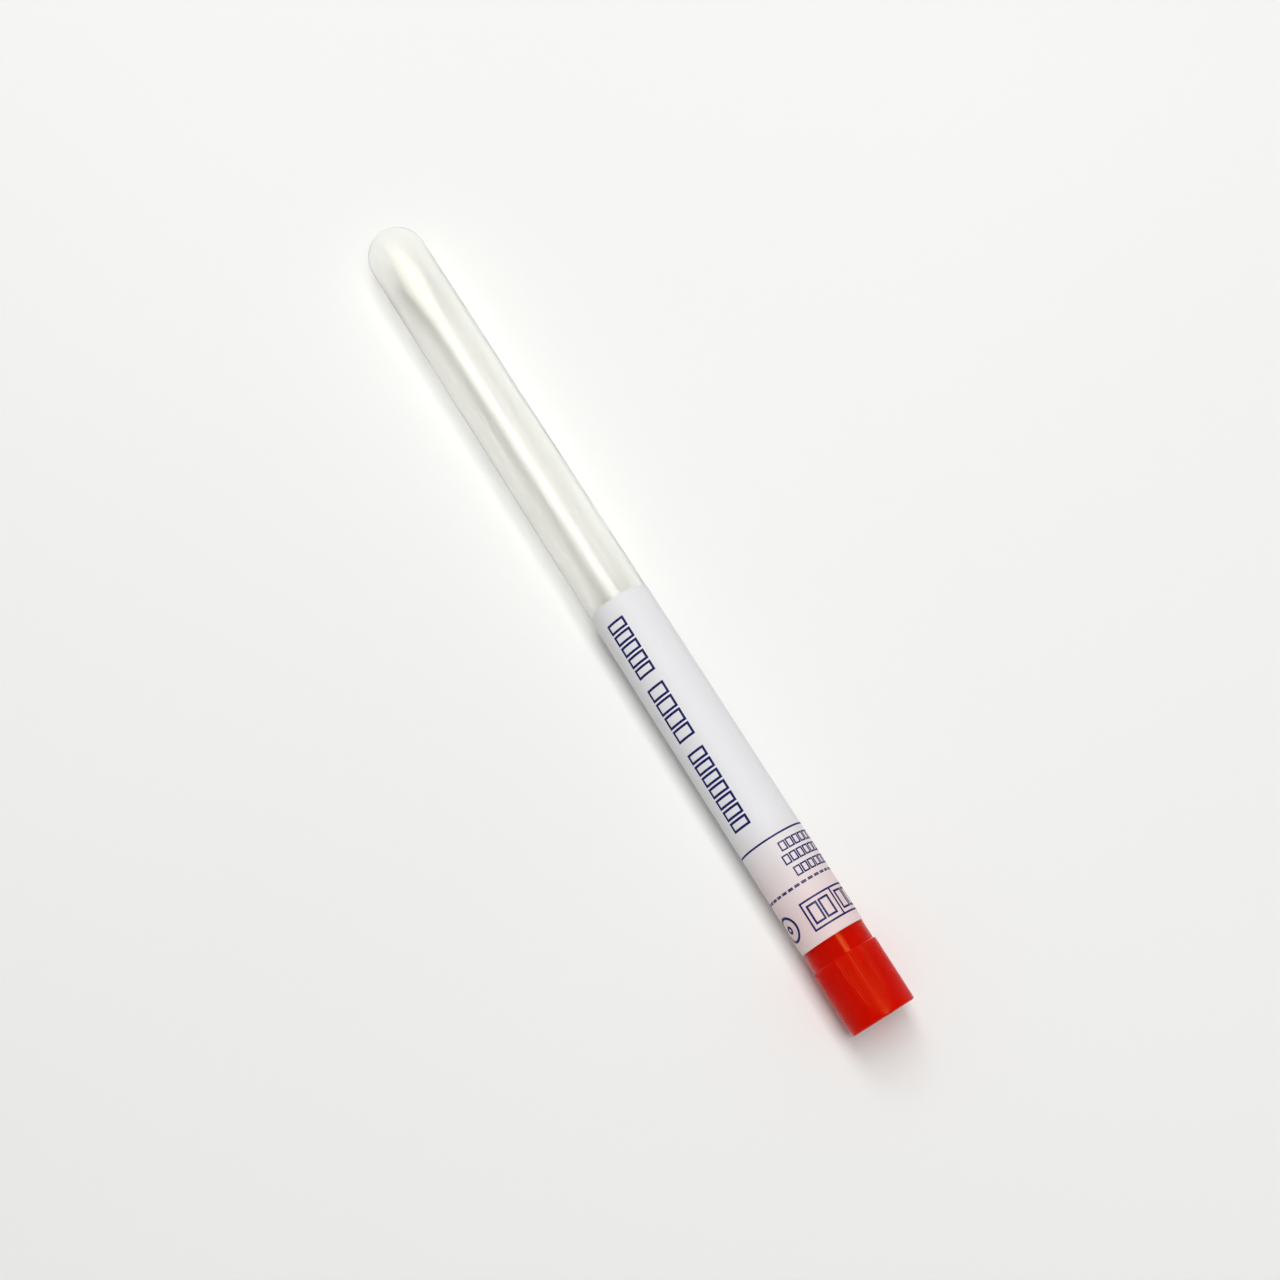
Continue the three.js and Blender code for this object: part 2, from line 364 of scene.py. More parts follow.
def painted_board(settings):
    """A sheet of white board, painted matt and almost even, for the object to lie on. Its far parts,
    which the lamps hardly reach, are as pale as the room behind them for the background's rays."""
    made, tree, place = new_material("white board, painted matt")
    # The roller's stipple is about 2 mm across, and the sheet's tone drifts over some 150 mm.
    stipple = grain(tree, place, 2 * MM)
    tone = grain(tree, place, 150 * MM, detail=1.0)
    # How far a point is from under the lamps. They are long, so their light reaches further along x.
    off = add_node(tree, "ShaderNodeVectorMath", {0: place, 1: LAMP_MIDDLE}, operation="SUBTRACT")
    flat = add_node(tree, "ShaderNodeVectorMath", {0: off, 1: (0.65, 1.0, 0.0)}, operation="MULTIPLY")
    away = add_node(tree, "ShaderNodeVectorMath", {0: flat}, operation="LENGTH").outputs["Value"]
    # Nothing is added up to the first distance. Past the second, it and the room's light make full light.
    lit_to, unlit_from = 0.4, 1.2
    full_light = 0.95
    lack = full_light - settings.room_light
    ramp = {"Value": away, "From Min": lit_to, "From Max": unlit_from, "To Max": lack}
    unlit = add_node(tree, "ShaderNodeMapRange", ramp)
    made_up = {0: unlit, 1: background_ray(tree)}
    white = linear(settings.floor_hex)
    rolled = {"Height": stipple, "Distance": 0.01 * MM, "Strength": 0.3}
    surface = {
        "Base Color": drifting(tree, tone, white, shade_of(white, 0.985)),
        "Emission Color": white,
        "Emission Strength": add_node(tree, "ShaderNodeMath", made_up, operation="MULTIPLY"),
        "Roughness": 0.8,
        "Specular IOR Level": 0.05,
        "Normal": add_node(tree, "ShaderNodeBump", rolled),
    }
    shader = add_node(tree, "ShaderNodeBsdfPrincipled", surface)
    add_node(tree, "ShaderNodeOutputMaterial", {"Surface": shader})
    return made


# ---- Making meshes ----


def around(station, radius, angle):
    """A point in the tube's own frame."""
    return Vector((station, -radius * math.sin(angle), radius * math.cos(angle)))


def ease(value, start, end):
    """0 up to start, 1 from end on, and a smooth rise between them."""
    share = min(1.0, max(0.0, (value - start) / (end - start)))
    return share * share * (3 - 2 * share)


def gate_mark(radius, depth):
    """How deep the round mark of a moulding's gate is at a radius: a shallow dish with a pip in it."""
    dish_slope = (0.7 * MM, 0.95 * MM)
    pip_slope = (0.2 * MM, 0.38 * MM)
    pip_height = 0.8
    return depth * ((1 - ease(radius, *dish_slope)) - pip_height * (1 - ease(radius, *pip_slope)))


def softened(corners, longest=4 * MM, steps=5):
    """An outline of (station, radius) points from (station, radius, rounding) corners. A rounded corner
    is an arc of so many steps. A run between corners has a point a little way in from each end, so that
    flats stay flat, and is cut up if it is long."""
    most_of_run = 0.45
    guard = 0.15 * MM
    bends = []
    for i, (station, radius, rounding) in enumerate(corners):
        here = Vector((station, radius))
        if rounding == 0:
            bends.append([here])
            continue
        back = Vector(corners[i - 1][:2]) - here
        ahead = Vector(corners[i + 1][:2]) - here
        half = back.angle(ahead) / 2
        reach = min(rounding / math.tan(half), most_of_run * back.length, most_of_run * ahead.length)
        middle = here + (back.normalized() + ahead.normalized()).normalized() * (reach / math.cos(half))
        start = here + back.normalized() * reach - middle
        end = here + ahead.normalized() * reach - middle
        arc = start.angle_signed(end)
        bend = []
        for step in range(steps + 1):
            bend.append(middle + Matrix.Rotation(-arc * step / steps, 2) @ start)
        bends.append(bend)
    outline = [bends[0][0]]
    for before, after in zip(bends, bends[1:]):
        run = after[0] - before[-1]
        marks = [0.0, run.length]
        if run.length > 3 * guard:
            marks[1:1] = [guard, run.length - guard]
        inner = marks[-2] - marks[1] if len(marks) > 2 else 0.0
        pieces = max(1, math.ceil(inner / longest))
        for piece in range(1, pieces):
            marks.insert(-2, marks[1] + inner * piece / pieces)
        outline += [before[-1] + run.normalized() * mark for mark in marks[1:-1]]
        outline += after
    return [tuple(point) for point in outline]


def turned(outline, segments, shape=None):
    """(points, faces) of a body turned about the axis, from an outline that runs from axis to axis.
    shape, where given, makes each point's radius from its station, radius and angle."""
    on_axis = 0.0001 * MM
    points, faces, rings = [], [], []
    for station, radius in outline:
        count = segments if radius > on_axis else 1
        rings.append(range(len(points), len(points) + count))
        for i in range(count):
            angle = FULL_TURN * i / segments
            points.append(around(station, shape(station, radius, angle) if shape else radius, angle))
    for ring, following in zip(rings, rings[1:]):
        for i in range(segments):
            j = (i + 1) % segments
            face = [
                ring[i % len(ring)],
                ring[j % len(ring)],
                following[j % len(following)],
                following[i % len(following)],
            ]
            faces.append(list(dict.fromkeys(face)))
    return points, faces


def solid_mesh(name, points, faces, crease=35):
    """A mesh with its faces pointing out, smooth apart from edges sharper than crease degrees."""
    mesh = bpy.data.meshes.new(name)
    mesh.from_pydata([tuple(p) for p in points], [], faces)
    worked = bmesh.new()
    worked.from_mesh(mesh)
    bmesh.ops.recalc_face_normals(worked, faces=worked.faces[:])
    worked.to_mesh(mesh)
    worked.free()
    mesh.shade_smooth()
    mesh.set_sharp_from_angle(angle=math.radians(crease))
    return mesh


def place_piece(mesh, material, body):
    """Lays a piece made in the tube's own frame where the CAD parts lie, and rides it on its body."""
    old = bpy.data.objects.get(mesh.name)
    if old:
        bpy.data.objects.remove(old)
    piece = bpy.data.objects.new(mesh.name, mesh)
    bpy.context.scene.collection.objects.link(piece)
    mesh.materials.append(material)
    piece.matrix_world = LIE
    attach(piece, body)
    return piece


# ---- The tube ----


class TubeSettings(bpy.types.PropertyGroup):
    plastic_hex: bpy.props.StringProperty(
        name="Plastic colour",
        description="sRGB hex colour of the frosted plastic",
        default="#FAFAF8",
    )
    clearness: bpy.props.FloatProperty(
        name="Clearness",
        description="Share of the light that the wall lets through",
        default=0.91,
        min=0,
        max=1,
        subtype="FACTOR",
    )
    frost: bpy.props.FloatProperty(
        name="Frost",
        description="How much the wall blurs what is behind it",
        default=0.5,
        min=0.05,
        max=0.9,
        subtype="FACTOR",
    )
    rim_rounding: bpy.props.FloatProperty(
        name="Rim rounding",
        description="Radius of the mouth's two edges",
        default=0.3 * MM,
        min=0.05 * MM,
        max=0.45 * MM,
        unit="LENGTH",
        precision=5,
    )


def half_dome(radius, centre, steps=28):
    """The outline of a hemisphere at the round end, from the axis out to its widest. Its points are
    closer together near the axis, where the gate's mark is."""
    crowding = 1.6
    points = []
    for step in range(steps + 1):
        angle = math.pi / 2 * (step / steps) ** crowding
        points.append((centre - radius * math.cos(angle), radius * math.sin(angle)))
    return points


class SWABTUBE_OT_tube(bpy.types.Operator):
    """Build the frosted round-bottomed tube"""

    bl_idname = "swab_tube.tube"
    bl_label = "Tube"

    def execute(self, context):
        settings = context.scene.swab_tube_tube
        _, mouth = ends_of("tube")
        outside = widest("tube")
        dome = widest("tube", high=outside)
        # the bore's radius near the mouth
        bore = min(r for s, r, _ in CORNERS["tube"] if s > 0.9 * mouth)
        wall = outside - bore
        gate_depth = 0.04 * MM
        outer_dome = [(s + gate_mark(r, gate_depth), r) for s, r in half_dome(dome, dome)]
        inner_dome = half_dome(dome - wall, dome)
        wall_and_rim = softened(
            [
                (dome, dome, 0),
                (mouth, outside, settings.rim_rounding),
                (mouth, outside - wall, settings.rim_rounding),
                (dome, dome - wall, 0),
            ]
        )
        outline = outer_dome[:-1] + wall_and_rim + inner_dome[-2::-1]
        mesh = solid_mesh("frosted_tube", *turned(outline, segments=192))
        material = frosted_polypropylene(settings, dome, dome - wall / 2)
        tube = place_piece(mesh, material, TUBE_BODY)
        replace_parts(tube, "tube")
        return {"FINISHED"}


# ---- The label and its seal band ----


class LabelSettings(bpy.types.PropertyGroup):
    paper_hex: bpy.props.StringProperty(
        name="Paper colour",
        description="sRGB hex colour of the label paper",
        default="#EAE9EB",
    )
    rosy_hex: bpy.props.StringProperty(
        name="Show-through colour",
        description="sRGB hex colour of the paper where all of the red cap shows through it",
        default="#EAD4D3",
    )
    ink_hex: bpy.props.StringProperty(
        name="Ink colour",
        description="sRGB hex colour of the print",
        default="#070850",
    )
    cut: bpy.props.FloatProperty(
        name="Perforation cut",
        description="Length of one cut of the tear line",
        default=1.02 * MM,
        unit="LENGTH",
        precision=5,
    )
    tie: bpy.props.FloatProperty(
        name="Perforation tie",
        description="Length of the paper left between two cuts",
        default=0.35 * MM,
        unit="LENGTH",
        precision=5,
    )
    film: bpy.props.FloatProperty(
        name="Ink film",
        description="How far the print stands out from the paper",
        default=0.016 * MM,
        unit="LENGTH",
        precision=6,
    )


class Wrap:
    """A strip wrapped round the tube: its ends along the axis, its radii at each, and its seam."""

    def __init__(self, node):
        self.start, self.end = ends_of(node)
        self.inside_start, self.outside_start = radii_at(node, self.start)
        self.inside_end, self.outside_end = radii_at(node, self.end)
        self.first, self.last = seam_of(node)

    def radius(self, station, outside=True):
        """The radius of the strip's outside, or of its inside, at a station."""
        share = (station - self.start) / (self.end - self.start)
        if outside:
            return self.outside_start + (self.outside_end - self.outside_start) * share
        return self.inside_start + (self.inside_end - self.inside_start) * share


def strip_mesh(name, wrap, left_edge, right_edge, segments):
    """A strip of paper as thick as the wrap. Each edge's station is a function of the arc round it."""
    margin = 0.2 * MM
    longest = 2 * MM
    run = wrap.end - wrap.start - 2 * margin
    count = math.ceil(run / longest)
    inner = [wrap.start + margin + run * i / count for i in range(count + 1)]
    points, faces = [], []
    for i in range(segments + 1):
        angle = wrap.first + (wrap.last - wrap.first) * i / segments
        arc = (angle - wrap.first) * wrap.outside_end
        stations = [left_edge(arc), *inner, right_edge(arc)]
        points += [around(s, wrap.radius(s), angle) for s in stations]
        points += [around(s, wrap.radius(s, outside=False), angle) for s in reversed(stations)]
    loop = 2 * (len(inner) + 2)
    for i in range(segments):
        for k in range(loop):
            a, b = i * loop + k, i * loop + (k + 1) % loop
            faces.append([a, b, b + loop, a + loop])
    half = loop // 2
    for first in (0, segments * loop):
        for k in range(half - 1):
            faces.append([first + k, first + k + 1, first + loop - 2 - k, first + loop - 1 - k])
    return solid_mesh(name, points, faces)


class SWABTUBE_OT_label(bpy.types.Operator):
    """Build the wrapped label and its seal band, which part along the perforated tear line"""

    bl_idname = "swab_tube.label"
    bl_label = "Label and seal band"

    def execute(self, context):
        settings = context.scene.swab_tube_label
        label, band = Wrap("label"), Wrap("seal_band")
        pitch = settings.cut + settings.tie
        tear = (label.end + band.start) / 2
        segments_a_pitch = 12
        segments = segments_a_pitch * round((label.last - label.first) * label.outside_end / pitch)
        # A cut stands open by twice the slit. At a tie the two sheets come within a hairline.
        slit = 0.02 * MM
        tie_end = 0.01 * MM
        hairline = 0.005 * MM

        def torn(arc, at_tie, at_cut):
            return at_tie if arc % pitch < settings.tie else at_cut

        mesh = strip_mesh(
            "label_sheet",
            label,
            lambda arc: label.start,
            lambda arc: torn(arc, tear + tie_end, tear - slit),
            segments,
        )
        # The cast begins over the nose of the cap's plug and is full halfway along the band.
        nose_lead = 1 * MM
        rosy_from = ends_of("cap")[0] + nose_lead
        material = label_paper(settings, rosy_from, (band.start + band.end) / 2)
        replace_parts(place_piece(mesh, material, TUBE_BODY), "label")
        mesh = strip_mesh(
            "seal_band_sheet",
            band,
            lambda arc: torn(arc, tear + tie_end + hairline, tear + slit),
            lambda arc: band.end,
            segments,
        )
        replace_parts(place_piece(mesh, material, CAP_BODY), "seal_band")
        return {"FINISHED"}


# ---- The print ----

# How wide the ruled lines are.
RULE_LINE = 0.34 * MM


class InkFilm:
    """Strokes of ink on a wrap, drawn on the unrolled paper: station along it and arc round it."""

    def __init__(self, wrap, height):
        self.wrap, self.height = wrap, height
        self.unrolled = wrap.outside_end
        self.points, self.faces = [], []

    def arc_at(self, degrees):
        """The arc at an angle given in degrees from the top."""
        return math.radians(degrees) * self.unrolled

    def stroke(self, path, width, closed=False):
        """A line along a path, in pieces that bend with the paper. It is sunk a little into the paper."""
        longest = 0.3 * MM
        top, bottom = self.height, -0.25 * self.height
        path = [Vector(p) for p in path]
        pairs = []
        for i, here in enumerate(path):
            following = path[(i + 1) % len(path)]
            back = (here - path[i - 1]).normalized() if closed or i else None
            ahead = (following - here).normalized() if closed or i < len(path) - 1 else None
            back, ahead = back or ahead, ahead or back
            side = Vector((-back.y, back.x))
            normal = (side + Vector((-ahead.y, ahead.x))).normalized()
            reach = normal * (width / 2 / normal.dot(side))
            pairs.append((here + reach, here - reach))
        if closed:
            pairs.append(pairs[0])
        fine = [pairs[0]]
        for (a, b), (c, d) in zip(pairs, pairs[1:]):
            steps = max(1, math.ceil((c - a).length / longest))
            fine += [(a.lerp(c, k / steps), b.lerp(d, k / steps)) for k in range(1, steps + 1)]
        if closed:
            fine.pop()
        first = len(self.points)
        for left, right in fine:
            for (station, arc), lift in ((left, top), (right, top), (right, bottom), (left, bottom)):
                radius = self.wrap.radius(station) + lift
                self.points.append(around(station, radius, arc / self.unrolled))
        count = len(fine)
        for k in range(count if closed else count - 1):
            a, b = first + 4 * k, first + 4 * ((k + 1) % count)
            self.faces += [[a + i, a + (i + 1) % 4, b + (i + 1) % 4, b + i] for i in range(4)]
        if not closed:
            end = first + 4 * (count - 1)
            self.faces += [[first, first + 1, first + 2, first + 3], [end + 3, end + 2, end + 1, end]]

    def box(self, left, right, low, high, width, lean=0.0):
        """An outlined box. lean is how far its arc moves for each metre along the tube."""
        corners = [(left, low), (right, low), (right, high), (left, high)]
        self.stroke([(s, a + lean * (s - left)) for s, a in corners], width, closed=True)

    def cells(self, left, right, low, high, width, count, gap, lean=0.0):
        """A row of outlined cells along the tube, one for each character that would be written there."""
        size = (right - left - gap * (count - 1)) / count
        for i in range(count):
            start = left + i * (size + gap)
            shift = lean * (start - left)
            self.box(start, start + size, low + shift, high + shift, width, lean)

    def dashes(self, station, width, cut, tie):
        """One side of the dashed rule round the wrap, with a dash along each cut of the tear line."""
        start, end = (angle * self.unrolled for angle in (self.wrap.first, self.wrap.last))
        clear_of_tie = 0.02 * MM
        for dash in range(int((end - start) / (cut + tie))):
            arc = start + dash * (cut + tie) + tie
            self.stroke([(station, arc), (station, arc + cut - clear_of_tie)], width)

    def mesh(self, name):
        return solid_mesh(name, self.points, self.faces, crease=50)


def print_label(film):
    """A row of writing cells, a rule right round the label, and rows of small cells past the rule."""
    # writing cells along the near side, in three groups: start and end in mm, and cells
    groups = ((93.0, 104.6, 5), (107.0, 118.2, 4), (120.7, 136.8, 7))
    height, gap, line = 3.5 * MM, 0.8 * MM, 0.45 * MM
    inset = 0.2
    lean = 0.012
    for start, end, count in groups:
        low = film.arc_at(15.6) + lean * (start - groups[0][0]) * MM + inset * MM
        left, right = (start + inset) * MM, (end - inset) * MM
        film.cells(left, right, low, low + height, line, count, gap, lean)
    # the rule, which stops just short of the seam on both sides
    station = 140.8 * MM
    short = 0.01
    ends = (film.wrap.first + short, film.wrap.last - short)
    film.stroke([(station, angle * film.unrolled) for angle in ends], RULE_LINE)
    # small cells round the tube, in three rows: start and end in mm, near end in degrees, and cells
    rows = ((142.2, 144.0, 1.7, 8), (144.6, 146.4, 8.2, 9), (147.15, 148.95, 1.7, 7))
    pitch, size, line = 1.45 * MM, 1.05 * MM, 0.28 * MM
    inset = 0.14
    for start, end, near, count in rows:
        for i in range(count):
            high = film.arc_at(near) - i * pitch
            film.box((start + inset) * MM, (end - inset) * MM, high - size, high, line)


def print_seal_band(film):
    """A ruled box with one divider, its cells, and a small ring inside a larger one."""
    left, right = 153.15 * MM, 158.3 * MM
    near, far, divider = film.arc_at(25.8), film.arc_at(-112), film.arc_at(-31.2)
    film.box(left, right, far, near, RULE_LINE)
    inset = 0.15 * MM
    film.stroke([(left + inset, divider), (right - inset, divider)], RULE_LINE)
    # two cells before the divider and three past it
    pitch, size, line = 2.35 * MM, 1.75 * MM, 0.38 * MM
    inset = 0.95 * MM
    first, next_first = near - 0.85 * MM, divider - 0.75 * MM
    for start, count in ((first, 2), (next_first, 3)):
        for i in range(count):
            high = start - i * pitch
            film.box(left + inset, right - inset, high - size, high, line)
    # the two rings and their middle
    station, arc = 155.7 * MM, film.arc_at(73)
    steps, line = 64, 0.5 * MM
    for radius in (2.25 * MM, 0.55 * MM):
        ring = []
        for step in range(steps):
            turn = FULL_TURN * step / steps
            ring.append((station + radius * math.cos(turn), arc + radius * math.sin(turn)))
        film.stroke(ring, line, closed=True)


class SWABTUBE_OT_print(bpy.types.Operator):
    """Build the plain navy print on the label and on the seal band"""

    bl_idname = "swab_tube.print"
    bl_label = "Print"

    def execute(self, context):
        settings = context.scene.swab_tube_label
        material = printing_ink(settings)
        label, band = Wrap("label"), Wrap("seal_band")
        # the dashed rule has one half on each side of the tear line
        tear = (label.end + band.start) / 2
        dash_middle, dash_line = 0.13 * MM, 0.2 * MM

        film = InkFilm(label, settings.film)
        print_label(film)
        film.dashes(tear - dash_middle, dash_line, settings.cut, settings.tie)
        place_piece(film.mesh("label_print"), material, TUBE_BODY)

        film = InkFilm(band, settings.film)
        film.dashes(tear + dash_middle, dash_line, settings.cut, settings.tie)
        print_seal_band(film)
        place_piece(film.mesh("seal_band_print"), material, CAP_BODY)
        return {"FINISHED"}


# ---- The cap ----

# Radii in mm of the rings across the gate's mark, close together where its dish and its pip slope.
DISH_RINGS = (1.4, 1.3, 1.2, 1.1, 1.0, 0.94, 0.88, 0.82, 0.76, 0.68)
PIP_RINGS = (0.6, 0.44, 0.38, 0.34, 0.3, 0.26, 0.22, 0.18, 0.0)


class CapSettings(bpy.types.PropertyGroup):
    plastic_hex: bpy.props.StringProperty(
        name="Plastic colour",
        description="sRGB hex colour of the cap",
        default="#D00801",
    )
    glow: bpy.props.FloatProperty(
        name="Glow",
        description="Share of the light that soaks into the plastic and comes out red elsewhere",
        default=0.75,
        min=0,
        max=1,
        subtype="FACTOR",
    )
    ribs: bpy.props.IntProperty(
        name="Ribs",
        description="How many ribs the grip has round it",
        default=72,
        min=12,
        max=90,
    )
    rib_depth: bpy.props.FloatProperty(
        name="Rib depth",
        description="How deep the grooves between the ribs are drawn",
        default=0.06 * MM,
        unit="LENGTH",
        precision=5,
    )
    groove_width: bpy.props.FloatProperty(
        name="Groove width",
        description="How wide a groove is at its mouth",
        default=0.22 * MM,
        unit="LENGTH",
        precision=5,
    )


class SWABTUBE_OT_cap(bpy.types.Operator):
    """Build the red push-in cap with its ribbed grip, hollow plug and swab socket"""

    bl_idname = "swab_tube.cap"
    bl_label = "Cap"

    def execute(self, context):
        settings = context.scene.swab_tube_cap
        near = 0.01 * MM
        nose, end = ends_of("cap")
        grip = widest("cap")
        shoulder = min(s for s, r, _ in CORNERS["cap"] if r > 0.9 * grip)
        socket, post, hollow, lead = radii_at("cap", nose)
        plug, collar = radii_at("cap", shoulder)
        bottom = max(s for s, r, _ in CORNERS["cap"] if abs(r - socket) < near)
        # the step from the collar up to the grip is drawn as a short cone
        cone = 0.2 * MM
        above_collar = collar + 0.1 * MM
        step = min(s for s, r, _ in CORNERS["cap"] if r > above_collar) - cone / 2
        # the CAD part's grooves end at the last station with both a groove's floor and a rib's crest
        stations = {round(s, 6) for s, r, _ in CORNERS["cap"] if s > step and r > collar}
        ribs_end = max(s for s in stations if len([r for r in radii_at("cap", s) if r > collar]) > 1)
        run_out = 0.3 * MM
        floor = grip - settings.rib_depth
        face = max(r for s, r, _ in CORNERS["cap"] if end - s < near)
        # the plug widens from its nose over the lead
        lead_end = nose + 0.8 * MM
        lead_radius = widest("cap", high=nose + 1 * MM)
        sharp, edge, inner_edge = 0.08 * MM, 0.15 * MM, 0.2 * MM
        # (station, radius, rounding), from the socket's bottom to the flat round the gate's mark
        corners = [
            (bottom, 0, 0),
            (bottom, socket, 0.1 * MM),
            (nose, socket, edge),
            (nose, post, inner_edge),
            (bottom, post, inner_edge),
            (bottom, hollow, inner_edge),
            (nose, hollow, edge),
            (nose, lead, edge),
            (lead_end, lead_radius, 0.3 * MM),
            (shoulder, plug, 0.12 * MM),
            (shoulder, collar, 0.12 * MM),
            (step, collar, sharp),
            (step + cone, grip, sharp),
            (ribs_end, grip, 0),
            (end, grip, grip - face),
            (end, DISH_RINGS[0] * MM, 0),
        ]
        gate_depth = 0.12 * MM
        outline = softened(corners)
        for ring in DISH_RINGS[1:] + PIP_RINGS:
            outline.append((end - gate_mark(ring * MM, gate_depth), ring * MM))
        pitch = FULL_TURN * grip / settings.ribs
        groove_floor, groove_lip = 0.1 * settings.groove_width, 0.52 * settings.groove_width

        def ribbed(station, radius, angle):
            if radius <= floor or station < shoulder:
                return radius
            away = abs((angle * settings.ribs / FULL_TURN + 0.5) % 1 - 0.5) * pitch
            groove = 1 - ease(away, groove_floor, groove_lip)
            groove *= 1 - ease(station, ribs_end - run_out, ribs_end)
            return radius - groove * (radius - floor)

        segments_a_rib = 8
        mesh = solid_mesh("red_cap", *turned(outline, segments_a_rib * settings.ribs, ribbed))
        cap = place_piece(mesh, red_polyethylene(settings), CAP_BODY)
        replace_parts(cap, "cap")
        return {"FINISHED"}


# ---- The swab ----


class SwabSettings(bpy.types.PropertyGroup):
    stick_hex: bpy.props.StringProperty(
        name="Stick colour",
        description="sRGB hex colour of the stick",
        default="#DCDCD8",
    )
    fibre_hex: bpy.props.StringProperty(
        name="Fibre colour",
        description="sRGB hex colour of the bud's fibre",
        default="#E6E4DC",
    )
    strands: bpy.props.IntProperty(
        name="Strands",
        description="How many strands are wound each way round the bud",
        default=34,
        min=8,
        max=60,
    )
    strand_width: bpy.props.FloatProperty(
        name="Strand width",
        description="Thickness of a wound strand at its middle",
        default=0.2 * MM,
        unit="LENGTH",
        precision=5,
    )
    loose_fibres: bpy.props.IntProperty(
        name="Loose fibres",
        description="How many fine fibres stand out from the bud",
        default=260,
        min=0,
        max=1000,
    )


def thread(points, faces, path, thickness, sides):
    """Adds a closed thread along a path. thickness gives its radius at a share of its length."""
    first = len(points)
    ahead = path[1] - path[0]
    side = ahead.orthogonal().normalized()
    for i, here in enumerate(path):
        ahead = (path[min(i + 1, len(path) - 1)] - path[max(i - 1, 0)]).normalized()
        side = (side - ahead * side.dot(ahead)).normalized()
        other = ahead.cross(side)
        radius = thickness(i / (len(path) - 1))
        for k in range(sides):
            turn = FULL_TURN * k / sides
            points.append(here + (side * math.cos(turn) + other * math.sin(turn)) * radius)
    for i in range(len(path) - 1):
        for k in range(sides):
            a, b = first + i * sides + k, first + i * sides + (k + 1) % sides
            faces.append([a, b, b + sides, a + sides])
    last = first + (len(path) - 1) * sides
    faces.append([first + k for k in reversed(range(sides))])
    faces.append([last + k for k in range(sides)])


class SWABTUBE_OT_stick(bpy.types.Operator):
    """Build the swab's white plastic stick"""

    bl_idname = "swab_tube.stick"
    bl_label = "Stick"

    def execute(self, context):
        settings = context.scene.swab_tube_swab
        start, end = ends_of("swab_stick")
        radius = widest("swab_stick")
        cut_edge = 0.06 * MM
        corners = [(start, 0, 0), (start, radius, cut_edge), (end, radius, cut_edge), (end, 0, 0)]
        mesh = solid_mesh("white_stick", *turned(softened(corners), segments=96))
        stick = place_piece(mesh, white_polystyrene(settings), CAP_BODY)
        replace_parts(stick, "swab_stick")
        return {"FINISHED"}


class BudShape:
    """The bud as the CAD part has it: its ends, the bore that takes the stick, and its outside."""

    def __init__(self):
        self.tip, self.neck = ends_of("swab_bud")
        self.length = self.neck - self.tip
        self.bore = radii_at("swab_bud", self.neck)[0]
        corners = CORNERS["swab_bud"]
        near = 0.01 * MM
        past_tip = self.tip + 1 * MM
        self.bore_end = min(s for s, r, _ in corners if abs(r - self.bore) < near and s > past_tip)
        outside = {}
        for station, radius, _ in corners:
            key = round(station / near)
            outside[key] = max(outside.get(key, 0.0), radius)
        by_station = sorted((key * near, radius) for key, radius in outside.items())
        clear_of_bore = self.bore + 0.05 * MM
        self.profile = [(s, r) for s, r in by_station if r > clear_of_bore or s < past_tip]

    def radius(self, station):
        """The outside radius at a station."""
        for (a, radius_a), (b, radius_b) in zip(self.profile, self.profile[1:]):
            if station <= b:
                share = max(0.0, (station - a) / (b - a))
                return radius_a + (radius_b - radius_a) * share
        return self.profile[-1][1]

    def core(self, sink, rings=60):
        """The outline of a core that lies sink below the outside. Its rings are closer near the tip."""
        crowding = 1.5
        thinnest = 0.08 * MM
        start = self.tip + sink
        outline = [(start, 0.0)]
        for ring in range(1, rings + 1):
            station = start + (self.length - sink) * (ring / rings) ** crowding
            outline.append((station, max(self.bore + thinnest, self.radius(station) - sink)))
        return outline + [(self.neck, self.bore), (self.bore_end, self.bore), (self.bore_end, 0.0)]


def wind_strands(points, faces, shape, settings, dice):
    """Adds the strands that are wound over the core, all of one way round and then all of the other."""
    width = settings.strand_width
    steps = 96
    crowding = 1.25
    innermost = 0.05 * MM

    def tapered(share):
        return width / 2 * (0.35 + 0.65 * math.sin(math.pi * share) ** 0.4)

    for way in (1, -1):
        for strand in range(settings.strands):
            phase = FULL_TURN * (strand + 0.35 * dice.random()) / settings.strands
            turns = way * dice.uniform(2.2, 3.0)
            begin, stop = dice.uniform(0.0, 0.05), dice.uniform(0.93, 1.0)
            depth = dice.uniform(0.52, 0.75) * width
            sway, beat = dice.uniform(0.0, 0.12), dice.uniform(2.0, 5.0)
            path = []
            for step in range(steps):
                share = begin + (stop - begin) * step / (steps - 1)
                station = shape.tip + 0.5 * width + (shape.length - width) * share**crowding
                angle = phase + FULL_TURN * turns * share + sway * math.sin(beat * FULL_TURN * share)
                path.append(around(station, max(innermost, shape.radius(station) - depth), angle))
            thread(points, faces, path, tapered, sides=5)


